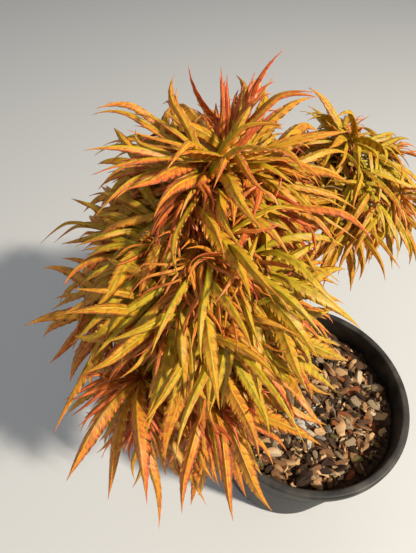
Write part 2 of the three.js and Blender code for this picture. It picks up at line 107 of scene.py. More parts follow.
class Heap:
    """Triangles of many small shapes, gathered to become one mesh."""

    def __init__(self):
        self.points = []
        self.triangles = []
        self.tints = []
        self.count = 0

    def add(self, points, triangles, tint=0):
        self.points.append(points)
        self.triangles.append(triangles + self.count)
        self.tints.append(np.broadcast_to(tint, len(triangles)))
        self.count += len(points)

    def piece(self, name, materials, nodes=()):
        """Makes the mesh, hangs it under the root body and hides the CAD nodes it stands for."""
        mesh = bpy.data.meshes.new(name)
        points = np.concatenate(self.points) * MM
        mesh.from_pydata(points.tolist(), [], np.concatenate(self.triangles).tolist())
        for material in materials:
            mesh.materials.append(material)
        mesh.polygons.foreach_set("material_index", np.concatenate(self.tints).astype(np.int32))
        mesh.shade_smooth()
        mesh.update()
        made = bpy.data.objects.new(name, mesh)
        bpy.context.scene.collection.objects.link(made)
        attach(made, "root")
        if nodes:
            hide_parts(*nodes)
        return made


def ring_faces(rows, sides):
    """Triangles over stacked rings of points, closed by a point at the start and one at the end."""
    side = np.arange(sides)
    after = (side + 1) % sides
    start = (np.arange(rows - 1) * sides)[:, None]
    a, b = start + side, start + after
    c, d = b + sides, a + sides
    end = (rows - 1) * sides
    return np.concatenate([
        np.stack([a, b, c], -1).reshape(-1, 3),
        np.stack([a, c, d], -1).reshape(-1, 3),
        np.stack([np.full(sides, rows * sides), after, side], -1),
        np.stack([np.full(sides, rows * sides + 1), end + side, end + after], -1),
    ])


def tube(centres, radii, sides):
    """A closed tube round a line of centres. radii has one number, or one for each side, per centre."""
    centres = np.asarray(centres, float)
    rows = len(centres)
    radii = np.broadcast_to(np.asarray(radii, float).reshape(rows, -1), (rows, sides))
    along = unit(np.gradient(centres, axis=0))
    across = EAST if abs(along[0][2]) > STEEP else UP
    angles = np.arange(sides) / sides * FULL_TURN
    rings = np.empty((rows, sides, 3))
    for row in range(rows):
        across = unit(across - across.dot(along[row]) * along[row])
        third = np.cross(along[row], across)
        circle = np.cos(angles)[:, None] * across + np.sin(angles)[:, None] * third
        rings[row] = centres[row] + circle * radii[row][:, None]
    points = np.concatenate([rings.reshape(-1, 3), centres[:1], centres[-1:]])
    return points, ring_faces(rows, sides)


def lengths_along(line):
    """How far each point of a line lies from its start, along the line."""
    return np.concatenate([[0], np.cumsum(np.linalg.norm(np.diff(line, axis=0), axis=1))])


# Fissures and lumps: how many to a millimetre round a limb, and along it. Scars: their distance, the
# first one's place and their width. Then how high each rises, as a share of the relief's depth.
FISSURES = (0.9, 0.16)
LUMPS = (0.27, 0.07)
SCAR_SPACING = 17
SCAR_PLACE = 8
SCAR_WIDTH = 0.9
SCAR_SEED_STEP = 7
FISSURE_RISE = 1.6
LUMP_RISE = 1.1
SCAR_RISE = 0.7


def bark_relief(centres, radii, sides, depth, seed):
    """Radii with fissures that run along a limb, and rings of old bud scars."""
    grid = np.empty((len(centres), sides))
    for row, length in enumerate(lengths_along(centres)):
        for side in range(sides):
            angle = side / sides * FULL_TURN
            radius = radii[row][side]
            x, y = radius * math.cos(angle), radius * math.sin(angle)
            crack = abs(noise.noise((x * FISSURES[0], y * FISSURES[0], length * FISSURES[1] + seed)))
            lump = noise.noise((x * LUMPS[0], y * LUMPS[0], length * LUMPS[1] - seed))
            from_scar = (length + SCAR_SEED_STEP * seed) % SCAR_SPACING - SCAR_PLACE
            scar = math.exp(-(from_scar / SCAR_WIDTH) ** 2)
            grid[row, side] = radius + depth * (FISSURE_RISE * crack + LUMP_RISE * lump + SCAR_RISE * scar)
    return grid


COARSE_DETAIL = 5
FINE_DETAIL = 8
FINE_ROUGHNESS = 0.7
GRAIN_PER_PATCH = 5
MIDDLE = 0.5


def mottle_group():
    """Uneven colour and grain for any worn or grown surface: two sizes of patches and a fine height."""
    group = bpy.data.node_groups.new("Mottle", "ShaderNodeTree")
    for name, value in (("Scale", 400.0), ("Stretch", 1.0), ("Contrast", 1.0)):
        socket = group.interface.new_socket(name, in_out="INPUT", socket_type="NodeSocketFloat")
        socket.default_value = value
    for name in ("Patches", "Grain"):
        group.interface.new_socket(name, in_out="OUTPUT", socket_type="NodeSocketFloat")
    nodes, links = group.nodes, group.links
    inside, outside = nodes.new("NodeGroupInput"), nodes.new("NodeGroupOutput")
    place = nodes.new("ShaderNodeTexCoord")
    stretch = nodes.new("ShaderNodeCombineXYZ")
    stretch.inputs["X"].default_value = 1
    stretch.inputs["Y"].default_value = 1
    links.new(inside.outputs["Stretch"], stretch.inputs["Z"])
    scaled = nodes.new("ShaderNodeVectorMath")
    scaled.operation = "MULTIPLY"
    links.new(place.outputs["Object"], scaled.inputs[0])
    links.new(stretch.outputs[0], scaled.inputs[1])
    coarse, fine = nodes.new("ShaderNodeTexNoise"), nodes.new("ShaderNodeTexNoise")
    coarse.inputs["Detail"].default_value = COARSE_DETAIL
    fine.inputs["Detail"].default_value = FINE_DETAIL
    fine.inputs["Roughness"].default_value = FINE_ROUGHNESS
    finer = nodes.new("ShaderNodeMath")
    finer.operation = "MULTIPLY"
    finer.inputs[1].default_value = GRAIN_PER_PATCH
    links.new(inside.outputs["Scale"], finer.inputs[0])
    for texture, scale in ((coarse, inside.outputs["Scale"]), (fine, finer.outputs[0])):
        links.new(scaled.outputs[0], texture.inputs["Vector"])
        links.new(scale, texture.inputs["Scale"])
    spread = nodes.new("ShaderNodeMath")
    spread.operation = "SUBTRACT"
    spread.inputs[1].default_value = MIDDLE
    links.new(coarse.outputs[0], spread.inputs[0])
    stronger = nodes.new("ShaderNodeMath")
    stronger.operation = "MULTIPLY_ADD"
    stronger.use_clamp = True
    stronger.inputs[2].default_value = MIDDLE
    links.new(spread.outputs[0], stronger.inputs[0])
    links.new(inside.outputs["Contrast"], stronger.inputs[1])
    links.new(stronger.outputs[0], outside.inputs["Patches"])
    links.new(fine.outputs[0], outside.inputs["Grain"])
    return group


MOTTLE = mottle_group()


def linear(srgb):
    """A colour given on the 0 to 255 scale, as Blender's linear colour."""
    shares = [part / 255 for part in srgb]
    return [s / 12.92 if s <= 0.04045 else ((s + 0.055) / 1.055) ** 2.4 for s in shares] + [1.0]


def grown_material(name, dark, light, rough, scale, stretch, contrast, bump, distance, specular=0.3):
    """Patches between two colours, a roughness that follows a fine grain, and a fine bump from the same
    grain.
    """
    material = bpy.data.materials.new(name)
    material.use_nodes = True
    nodes, links = material.node_tree.nodes, material.node_tree.links
    shader = nodes["Principled BSDF"]
    shader.inputs["Specular IOR Level"].default_value = specular
    mottle = nodes.new("ShaderNodeGroup")
    mottle.node_tree = MOTTLE
    mottle.inputs["Scale"].default_value = scale
    mottle.inputs["Stretch"].default_value = stretch
    mottle.inputs["Contrast"].default_value = contrast
    colours = nodes.new("ShaderNodeMix")
    colours.data_type = "RGBA"
    colours.inputs["A"].default_value = linear(dark)
    colours.inputs["B"].default_value = linear(light)
    links.new(mottle.outputs["Patches"], colours.inputs["Factor"])
    links.new(colours.outputs["Result"], shader.inputs["Base Color"])
    roughness = nodes.new("ShaderNodeMapRange")
    roughness.inputs["To Min"].default_value = rough[0]
    roughness.inputs["To Max"].default_value = rough[1]
    links.new(mottle.outputs["Grain"], roughness.inputs["Value"])
    links.new(roughness.outputs[0], shader.inputs["Roughness"])
    relief = nodes.new("ShaderNodeBump")
    relief.inputs["Strength"].default_value = bump
    relief.inputs["Distance"].default_value = distance
    links.new(mottle.outputs["Grain"], relief.inputs["Height"])
    links.new(relief.outputs[0], shader.inputs["Normal"])
    return material


TRUNK_POINTS = (TRUNK_FOOT, TRUNK_FOOT + TRUNK_RISE, TRUNK_FORK - TRUNK_ARRIVE, TRUNK_FORK)


def trunk_radius(t):
    """The trunk's radius without its ridges."""
    height = bezier(TRUNK_POINTS, t)[..., 2] - TRUNK_FOOT[2]
    flare = np.exp(-height / ROOT_FLARE_FADE)
    return TRUNK_RADII[0] + (TRUNK_RADII[1] - TRUNK_RADII[0]) * np.asarray(t) + ROOT_FLARE * flare


TRUNK_ROWS = 150
TRUNK_SIDES = 52
TRUNK_RELIEF = 0.45
TRUNK_SEED = 3.1
SUNK_SPREAD = 1.12
steps = np.linspace(0, 1, TRUNK_ROWS)
line = bezier(TRUNK_POINTS, steps)
turns = np.arange(TRUNK_SIDES) / TRUNK_SIDES * FULL_TURN
fade = np.exp(-(line[:, 2] - TRUNK_FOOT[2]) / ROOT_FLARE_FADE)[:, None]
ridges = 1 + ROOT_RIDGE_SHARE * fade * np.cos(ROOT_RIDGES * turns)
trunk_grid = bark_relief(
    line, trunk_radius(steps)[:, None] * ridges, TRUNK_SIDES, TRUNK_RELIEF, TRUNK_SEED,
)
sunk = np.concatenate([[TRUNK_FOOT - UP * TRUNK_ROOT_DEPTH], line])
trunk_grid = np.concatenate([trunk_grid[:1] * SUNK_SPREAD, trunk_grid])
bark = grown_material(
    "Trunk bark",
    dark=(72, 54, 40),
    light=(150, 124, 96),
    rough=(0.7, 0.95),
    scale=260,
    stretch=0.35,
    contrast=2.2,
    bump=0.5,
    distance=0.0006,
)
heap = Heap()
heap.add(*tube(sunk, trunk_grid, TRUNK_SIDES))
heap.piece("trunk_bark", [bark], ["trunk"])


# Boughs
# Tapering limbs that spring from the trunk and the leader and end where they enter a mass of leaves.
# Their bark is younger and smoother than the trunk's, brown with a touch of red, swollen at each fork.

BOUGH_RADIUS = 2.7
BOUGH_SHARE = 0.8
BOUGH_TIP_RADIUS = 1.6
BOUGH_REACH = 0.6
BOUGH_BEND = 0.32
BOUGH_RISE = 0.12
BOUGH_SIDES = 24
BOUGH_FEWEST_ROWS = 24
BOUGH_ROW_SPACING = 0.9
BOUGH_RELIEF = 0.16
BOUGH_SEED_STEP = 5.3
COLLAR_SWELL = 0.45
COLLAR_START = 3.0
COLLAR_FADE = 4.0
LEADER_TIP = np.array([-67.0, 41.0, 318.0])
LEADER_SWEEP = 26.0
LEADER_SUNK = 3.0
LEADER_TIP_RADIUS = 2.0
SIDE_BOUGH_TIP = np.array([13.0, 78.0, 289.0])
SIDE_BOUGH_START = 0.95
SIDE_BOUGH_RADII = (3.4, 2.1)
MAIN_CROWN = {
    "centre": np.array([-97.0, 30.0, 272.0]),
    "radii": (40.0, 78.0, 88.0),
    "lean": 0.27,
    "slopes": (0.2, -0.2),
}
SIDE_CROWN = {
    "centre": np.array([20.0, 98.0, 297.0]),
    "radii": (33.0, 32.0, 22.0),
    "lean": 0.0,
    "slopes": (0.4, 0.4),
}
# Each mass: the limb its bough springs from and how far along it, the size of its leaves, then its tufts'
# height angles and turns
MASSES = {
    "crown_top": ("leader", 1.0, 0.95, ((90, (0,)), (66, (-68, 88)), (50, (150, 212)))),
    "front": ("leader", 0.12, 1.05, ((56, (-20,)), (48, (34,)), (31, (-26, 16)))),
    "right": ("leader", 0.36, 1.0, ((46, (80, 126)), (26, (52, 98)))),
    "rear": ("leader", 0.24, 1.0, ((46, (172, 218)), (26, (144, 190)))),
    "left": ("leader", 0.48, 0.9, ((46, (264, 306)), (26, (236, 282)))),
    "foot_front": ("trunk", 0.7, 1.15, ((1, (-30, 18)),)),
    "foot_right": ("trunk", 0.62, 1.15, ((1, (54, 86)),)),
    "foot_rear": ("trunk", 0.78, 1.15, ((1, (136, 182)),)),
    "foot_left": ("trunk", 0.86, 1.06, ((3, (248, 296)),)),
    "side_front": ("side", 1.0, 0.72, ((80, (180,)), (12, (0, 60)))),
    "side_rear": ("side", 0.8, 0.72, ((12, (120, 180, 240)),)),
}
SHOULDER = 1.5
SHOOT_RISE = 0.45
STEM_REACH = 0.4
TWIG_ROOT = 0.85
TWIG_RADIUS = 1.5
TWIG_TIP_RADIUS = 1.1


def taper(first, last):
    """A radius that changes evenly from the first to the last."""
    return lambda t: first + (last - first) * np.asarray(t)


def bough_points(start, tip):
    """A bough springs from its parent's core, rises a little and bends out to its tip."""
    out = tip - start
    rise = BOUGH_RISE * np.linalg.norm(out) * UP
    return (start, start + BOUGH_BEND * out + rise, tip - BOUGH_BEND * out + rise / 2, tip)


def crown_point(crown, height, turn):
    """Where a tuft sits on its crown's dome, which is narrow at its shoulders."""
    high, round_about = math.radians(height), math.radians(turn)
    y = -crown["radii"][1] * math.cos(high) * math.cos(round_about)
    z = crown["radii"][2] * math.sin(high)
    x = crown["radii"][0] * math.cos(high) ** SHOULDER * math.sin(round_about) + crown["lean"] * z
    return crown["centre"] + np.array([x, y, z + crown["slopes"][y > 0] * y])


def shoot_direction(height, turn):
    """The way a tuft's shoot points, outward and up."""
    high, round_about = math.radians(height), math.radians(turn)
    level = math.cos(high)
    return unit(np.array([
        level * math.sin(round_about),
        -level * math.cos(round_about),
        math.sin(high) + SHOOT_RISE,
    ]))


fork_way = bezier_slope(TRUNK_POINTS, 1.0)
leader_foot = TRUNK_FORK + CLEAR * fork_way
LIMBS = {
    "trunk": (TRUNK_POINTS, trunk_radius),
    "leader": (
        (
            leader_foot - LEADER_SUNK * fork_way,
            leader_foot + LEADER_SWEEP * fork_way,
            LEADER_TIP - LEADER_SWEEP * UP,
            LEADER_TIP,
        ),
        taper(TRUNK_RADII[1], LEADER_TIP_RADIUS),
    ),
    "side": (
        bough_points(bezier(TRUNK_POINTS, SIDE_BOUGH_START), SIDE_BOUGH_TIP),
        taper(*SIDE_BOUGH_RADII),
    ),
}

masses = []
number = 0
for name, (limb, at, leaf_scale, rings) in MASSES.items():
    crown = SIDE_CROWN if limb == "side" else MAIN_CROWN
    tufts = []
    for height, turn in ((height, turn) for height, turns_of in rings for turn in turns_of):
        number += 1
        tufts.append({
            "number": number,
            "level": math.cos(math.radians(height)),
            "scale": leaf_scale,
            "tip": crown_point(crown, height, turn),
            "shoot": shoot_direction(height, turn),
        })
    middle = sum(tuft["tip"] for tuft in tufts) / len(tufts)
    points, radius_at = LIMBS[limb]
    if at < 1:
        start = bezier(points, at)
        thick = min(BOUGH_RADIUS, BOUGH_SHARE * float(radius_at(at)))
        points = bough_points(start, start + (middle - start) * BOUGH_REACH)
        radius_at = taper(thick, BOUGH_TIP_RADIUS)
        LIMBS["bough_" + name] = (points, radius_at)
    along = bezier_slope(points, 1.0)
    foot = points[3]
    fork = foot + (middle - foot) * STEM_REACH
    reach = np.linalg.norm(fork - foot)
    stem = (foot, foot + along * reach / 3, fork + (foot - fork) / 3, fork)
    for tuft in tufts:
        tuft["foot"] = bezier(stem, TWIG_ROOT)
    masses.append({"name": name, "tufts": tufts, "stem": stem, "thick": float(radius_at(1.0))})

bough_bark = grown_material(
    "Bough bark",
    dark=(78, 46, 30),
    light=(140, 98, 66),
    rough=(0.55, 0.85),
    scale=300,
    stretch=0.6,
    contrast=1.8,
    bump=0.35,
    distance=0.0004,
)
heap = Heap()
bough_nodes = []
for index, (name, (points, radius_at)) in enumerate(LIMBS.items()):
    if name == "trunk":
        continue
    rows = max(BOUGH_FEWEST_ROWS, int(np.linalg.norm(points[3] - points[0]) / BOUGH_ROW_SPACING))
    steps = np.linspace(0, 1, rows)
    line = bezier(points, steps)
    past_start = np.maximum(lengths_along(line) - COLLAR_START, 0)
    collar = 0 if name == "leader" else COLLAR_SWELL * np.exp(-(past_start / COLLAR_FADE) ** 2)
    radii = np.repeat((radius_at(steps) * (1 + collar))[:, None], BOUGH_SIDES, axis=1)
    relief = bark_relief(line, radii, BOUGH_SIDES, BOUGH_RELIEF, BOUGH_SEED_STEP * index)
    heap.add(*tube(line, relief, BOUGH_SIDES))
    bough_nodes.append(name if name.startswith("bough_") else "bough_" + name)
heap.piece("boughs_bark", [bough_bark], bough_nodes)


# Twigs and leaf stalks
# Each mass has one stem that carries on from its bough's tip, with a thin brown twig to every tuft. The
# leaf stalks spring from the last length of a twig. They are as thick as a wire, and gold or coral red.

LEAF_SEED = 4171
TUFT_SEED_STEP = 101
TUFT_TURN = 71
STALK_LENGTH = (5.0, 10.0)
LEAFY_LENGTH = 15.0
TIP_TILT = 24.0
SPREAD_TILT = 98.0
GOLDEN_TURN = 137.5
FIRST_SHARE = 0.3
GOLDEN_SHARE = 0.618
TURN_JITTER = 16.0
TILT_JITTER = 9.0
ROLL_JITTER = 22.0
LEAF_SAG = 0.5
BLADE_LEAN = 0.25
LOBE_LENGTH = (56.0, 72.0)
LOBE_ARCH = (0.06, 0.22)
LOBE_DROOP = (0.28, 0.64)
UPRIGHT_DROOP = 0.3
YOUNG_SHARE = 0.82
ACROSS = np.array([0.3, 1.0, 0.1])
LEAVES_PER_TUFT = 11
INNER_LEAVES = 3
INNER_FIRST_TURN = 50
INNER_TILT = (70, 112)
INNER_ROLL = 0.5
INNER_SAG = 0.2
INNER_BACK = (16, 34)
INNER_STALK = 5.0
INNER_LENGTH = (34, 48)
INNER_ARCH = 0.15
INNER_DROOP = 0.2
YOUNG_LEAVES = 5
SUNNY_SIDE = "right"
SUNNY_YOUNG_LEAVES = 8
YOUNG_TILT = (4, 50)
YOUNG_ROLL = 1.2
YOUNG_AHEAD = -2.0
YOUNG_STALK = 3.0
YOUNG_LENGTH = (22, 46)
YOUNG_ARCH = (-0.5, 0.6)
YOUNG_DROOP = (0.0, 0.8)
LEADING_TUFT = 1
LEADING_TURN = (205.0, 275.0)
LEADING_TILT = (12.0, 36.0)
LEADING_LENGTH = (36.0, 54.0)
THREAD_TUFTS = (2, 6, 22)
THREAD_LEAVES = 8
THREAD_STALK = (9.0, 17.0)
THREAD_TURN = (80.0, 145.0)
THREAD_TILT = (25.0, 65.0)
THREAD_LENGTH = (28.0, 42.0)
THREAD_ARCH = (-0.4, 0.3)
THREAD_DROOP = (0.4, 0.8)


def between(limits, share):
    """The value that lies a share of the way from the first limit to the second."""
    return limits[0] + (limits[1] - limits[0]) * share


def turned(vector, axis, angle):
    """The vector turned round the axis."""
    along = axis * axis.dot(vector) * (1 - math.cos(angle))
    return vector * math.cos(angle) + np.cross(axis, vector) * math.sin(angle) + along


def leaf_at(tuft, tilt, turn, roll, sag, back, stalk):
    """A leaf's stalk root, the hub its lobes fan from, and the directions that it lies in."""
    shoot = tuft["shoot"]
    sideways = unit(np.cross(shoot, ACROSS))
    third = np.cross(shoot, sideways)
    outward = sideways * math.cos(turn) + third * math.sin(turn)
    forward = unit(shoot * math.cos(tilt) + outward * math.sin(tilt) - UP * sag)
    facing = UP + BLADE_LEAN * shoot
    normal = turned(unit(facing - forward * facing.dot(forward)), forward, roll)
    root = tuft["tip"] + unit(tuft["foot"] - tuft["tip"]) * back
    hub = root + forward * stalk
    side = np.cross(normal, forward)
    return {"root": root, "hub": hub, "forward": forward, "normal": normal, "side": side}


def grown_leaf(tuft, order, draw):
    """The source's leaf rule: leaves follow the golden angle down a shoot, flatter and larger lower down."""
    share = (FIRST_SHARE + order * GOLDEN_SHARE) % 1
    turn = math.radians(order * GOLDEN_TURN + tuft["number"] * TUFT_TURN + TURN_JITTER * (2 * draw() - 1))
    tilt = math.radians(between((TIP_TILT, SPREAD_TILT), share) + TILT_JITTER * (2 * draw() - 1))
    roll = math.radians(ROLL_JITTER * (2 * draw() - 1))
    stalk = between(STALK_LENGTH, draw())
    grown = YOUNG_SHARE + (1 - YOUNG_SHARE) * min(1, 2 * share)
    length = between(LOBE_LENGTH, draw()) * grown * tuft["scale"]
    arch = between(LOBE_ARCH, draw())
    droop = between(LOBE_DROOP, draw()) * between((UPRIGHT_DROOP, 1), tuft["level"])
    leaf = leaf_at(tuft, tilt, turn, roll, LEAF_SAG * share * tuft["level"], LEAFY_LENGTH * share, stalk)
    leaf.update(length=length, arch=arch, droop=droop, share=share, kind="grown")
    return leaf


def inner_leaf(tuft, order, draw):
    """Older and smaller leaves further down the twig, in the crown's shade."""
    turn = math.radians(order * GOLDEN_TURN + INNER_FIRST_TURN + 360 * draw())
    tilt = math.radians(between(INNER_TILT, draw()))
    roll = INNER_ROLL * (draw() - 0.5)
    leaf = leaf_at(tuft, tilt, turn, roll, INNER_SAG, between(INNER_BACK, draw()), INNER_STALK)
    length = between(INNER_LENGTH, draw()) * tuft["scale"]
    leaf.update(length=length, arch=INNER_ARCH, droop=INNER_DROOP, share=1.0, kind="inner")
    return leaf


def young_leaf(tuft, order, draw):
    """New growth at the tip of a shoot: thin curled leaves that are still red."""
    turn = math.radians(order * GOLDEN_TURN + 360 * draw())
    tilt = math.radians(between(YOUNG_TILT, draw()))
    length = between(YOUNG_LENGTH, draw()) * tuft["scale"]
    droop = between(YOUNG_DROOP, draw() ** 2)
    kind = "young"
    if tuft["number"] == LEADING_TUFT:
        turn, tilt = math.radians(between(LEADING_TURN, draw())), math.radians(between(LEADING_TILT, draw()))
        length, droop, kind = between(LEADING_LENGTH, draw()), 0.0, "leading"
    leaf = leaf_at(tuft, tilt, turn, YOUNG_ROLL * (draw() - 0.5), 0.0, YOUNG_AHEAD * draw(), YOUNG_STALK)
    leaf.update(length=length, arch=between(YOUNG_ARCH, draw()), droop=droop, share=0.0, kind=kind)
    return leaf


def thread_leaf(tuft, draw):
    """The newest leaves of some tufts: a bunch of red threads that hangs in front of the grown leaves."""
    turn, tilt = math.radians(between(THREAD_TURN, draw())), math.radians(between(THREAD_TILT, draw()))
    roll = YOUNG_ROLL * (draw() - 0.5)
    leaf = leaf_at(tuft, tilt, turn, roll, 0.0, 0.0, between(THREAD_STALK, draw()))
    length, droop = between(THREAD_LENGTH, draw()), between(THREAD_DROOP, draw())
    leaf.update(length=length, arch=between(THREAD_ARCH, draw()), droop=droop, share=0.0, kind="thread")
    return leaf


# How far red, green and blue light goes inside a leaf, and the unit of that in metres
GLOW_REACH = (1.0, 0.6, 0.2)
GLOW_SCALE = 0.0012


def plain_material(name, srgb, rough, specular, glow=0.0):
    """A tint in one plain base colour; glow is the light that passes through a thin leaf."""
    material = bpy.data.materials.new(name)
    material.use_nodes = True
    shader = material.node_tree.nodes["Principled BSDF"]
    shader.inputs["Base Color"].default_value = linear(srgb)
    shader.inputs["Roughness"].default_value = rough
    shader.inputs["Specular IOR Level"].default_value = specular
    shader.inputs["Subsurface Weight"].default_value = glow
    shader.inputs["Subsurface Radius"].default_value = GLOW_REACH
    shader.inputs["Subsurface Scale"].default_value = GLOW_SCALE
    return material


STEM_SEED_STEP = 977
STEM_ROWS = 22
STEM_SIDES = 12
TWIG_ROWS = 20
TWIG_SIDES = 9
TWIG_KINK = 0.5
KINK_PACE = 9
TWIG_JOINTS = 5
JOINT_SWELL = 0.22
JOINT_WIDTH = 0.12
STALK_RADII = np.array([1.25, 1.0, 0.9, 0.85, 0.9])
STALK_SIDES = 6
STALK_BOW = 0.8
GROWN_STALK = 0.75
THIN_STALK = 0.5
GOLD_STALKS = 0.55
BROWN, GOLD = 0, 1
twig_tints = [
    plain_material("Twig brown", (112, 70, 44), rough=0.6, specular=0.3),
    plain_material("Stalk gold", (186, 128, 52), rough=0.45, specular=0.4),
    plain_material("Stalk coral", (196, 84, 56), rough=0.45, specular=0.4),
]
heap = Heap()
for mass in masses:
    draw = seeded(len(mass["name"]) * STEM_SEED_STEP + len(mass["tufts"]))
    steps = np.linspace(0, 1, STEM_ROWS)
    radii = mass["thick"] + (TWIG_RADIUS - mass["thick"]) * steps
    heap.add(*tube(bezier(mass["stem"], steps), radii, STEM_SIDES), BROWN)
    for tuft in mass["tufts"]:
        steps = np.linspace(0, 1, TWIG_ROWS)
        start, end = tuft["foot"], tuft["tip"]
        line = start + (end - start) * steps[:, None]
        kink = unit(np.cross(end - start, ACROSS)) * np.sin(steps * KINK_PACE + tuft["number"])[:, None]
        line += kink * (TWIG_KINK * np.sin(steps * math.pi))[:, None]
        joints = JOINT_SWELL * np.exp(-(((steps * TWIG_JOINTS) % 1 - 0.5) / JOINT_WIDTH) ** 2)
        radii = TWIG_RADIUS + (TWIG_TIP_RADIUS - TWIG_RADIUS) * steps + joints
        heap.add(*tube(line, radii, TWIG_SIDES), BROWN)
        stream = seeded(LEAF_SEED + TUFT_SEED_STEP * tuft["number"])
        leaves = [grown_leaf(tuft, order, stream) for order in range(LEAVES_PER_TUFT)]
        leaves += [inner_leaf(tuft, order, stream) for order in range(INNER_LEAVES)]
        young = SUNNY_YOUNG_LEAVES if mass["name"] == SUNNY_SIDE else YOUNG_LEAVES
        leaves += [young_leaf(tuft, order, stream) for order in range(young)]
        if tuft["number"] in THREAD_TUFTS:
            leaves += [thread_leaf(tuft, stream) for _ in range(THREAD_LEAVES)]
        tuft["leaves"] = leaves
        for leaf in leaves:
            steps = np.linspace(0, 1, len(STALK_RADII))[:, None]
            line = leaf["root"] + (leaf["hub"] - leaf["root"]) * steps
            line = line + leaf["normal"] * (STALK_BOW * np.sin(steps * math.pi))
            thin = GROWN_STALK if leaf["kind"] in ("grown", "inner") else THIN_STALK
            heap.add(*tube(line, STALK_RADII * thin, STALK_SIDES), GOLD + (draw() > GOLD_STALKS))
heap.piece("twigs_and_stalks", twig_tints)


# Leaves
# Each leaf is a hand of five or seven long narrow lobes on a stalk. A lobe is folded along its raised
# rib, pleated between its side veins, toothed at the margin and drawn out to a curling tip. The tints run
# from yellow-green at the rib and base over gold and orange to coral at margins and tips.

FIVE_LOBES = ((-62, 0.70), (-32, 0.92), (0, 1.0), (32, 0.92), (62, 0.70))
SEVEN_LOBES = ((-88, 0.45), *FIVE_LOBES, (88, 0.45))
SEVEN_LOBE_SHARE = 0.72
DRAPE_LENGTH = 1.15
LOBE_WIDTH = 0.1
HEAD = 1.25
TAIL = 1.5
WIDEST = HEAD / (HEAD + TAIL)
FOOT_WIDTH = 0.3
TIP_WIDTH = 0.1
# How a lobe bends: down under its weight, over with its arch, down again at the tip, and sideways
DROOP_PULL = 2.7
DROOP_ONSET = 0.8
ARCH_PULL = 1.6
TIP_CURL = (-0.8, 7.0)
CURL_START = 0.66
SWAY = (-0.55, 0.55)
SWAY_PACE = 3.6
SWAY_LAG = 0.6
TWIST = (-0.7, 0.7)
# A row's points across the lobe, from margin to margin over the rib, and one under the rib
STRIPS = np.array([-1.0, -0.66, -0.1, 0.0, 0.1, 0.66, 1.0, 0.0])
EDGES, MIDDLES, RIB_FEET, RIB, UNDER = (0, 6), (1, 5), (2, 4), 3, 7
ROUND = len(STRIPS)
STRIP_TINTS = np.array([0.28, 0.06, -0.24, -0.24, 0.06, 0.28, 0.10, 0.10])
FEWEST_ROWS = 6
MOST_ROWS = 60
FIRST_ROW = 0.15
LOBE_FOLD = 0.35
FOLD_SHARE = (0.4, 2.2)
BULGE = 0.12
BLADE = 0.32
RIB_WIDTH = 0.42
RIB_WIDTH_SHARE = 0.22
RIB_HEIGHT = 0.55
RIB_HEIGHT_SHARE = 0.3
PLEAT = 0.075
VEIN_SLANT = 0.42
VEIN_SLANT_FADE = 3
TOOTH = 0.05
TOOTH_HOOK = 0.16
TOOTH_SHARE = (0.15, 1.0)
TEETH_START = 0.1
TEETH_ONSET = 8
TINT_STOPS = (
    (0.00, (175, 162, 29)),
    (0.16, (190, 156, 27)),
    (0.34, (202, 145, 31)),
    (0.52, (210, 127, 38)),
    (0.74, (212, 102, 48)),
    (1.00, (206, 79, 58)),
)
# How far a leaf's hand is open, its rows' spacing, how much it curls, how wide it is and how red
LEAF_KINDS = {
    "grown": {"fan": 1.0, "spacing": 2.8, "lively": 1.0, "wide": (0.65, 1.3), "tint": 0.0},
    "inner": {"fan": 1.0, "spacing": 4.2, "lively": 1.0, "wide": (0.65, 1.3), "tint": 0.05},
    "young": {"fan": 0.7, "spacing": 3.0, "lively": 2.2, "wide": (0.45, 0.65), "tint": 0.30},
    "leading": {"fan": 0.35, "spacing": 3.0, "lively": 0.8, "wide": (0.5, 0.8), "tint": 0.30},
    "thread": {"fan": 0.55, "spacing": 2.6, "lively": 2.6, "wide": (0.32, 0.5), "tint": 0.34},
}
BRIGHT_TINTS = 11
SHADED_TINTS = 5
SHADE = 0.62
SHADED_REDDEST = 0.9
DULL = 0.86


def stop_colour(share):
    """A colour along the row of tint stops."""
    places = [stop for stop, _ in TINT_STOPS]
    return [float(np.interp(share, places, [colour[part] for _, colour in TINT_STOPS])) for part in range(3)]


leaf_tints = [
    plain_material(
        f"{name} tint {tint + 1}",
        [part * light for part in stop_colour(tint / (BRIGHT_TINTS - 1))],
        rough=0.48,
        specular=0.35,
        glow=0.35,
    )
    for name, light in (("Leaf", 1.0), ("Dull leaf", DULL))
    for tint in range(BRIGHT_TINTS)
]
leaf_tints += [
    plain_material(
        f"Shaded leaf tint {tint + 1}",
        [part * SHADE for part in stop_colour(SHADED_REDDEST * tint / (SHADED_TINTS - 1))],
        rough=0.55,
        specular=0.3,
        glow=0.4,
    )
    for tint in range(SHADED_TINTS)
]


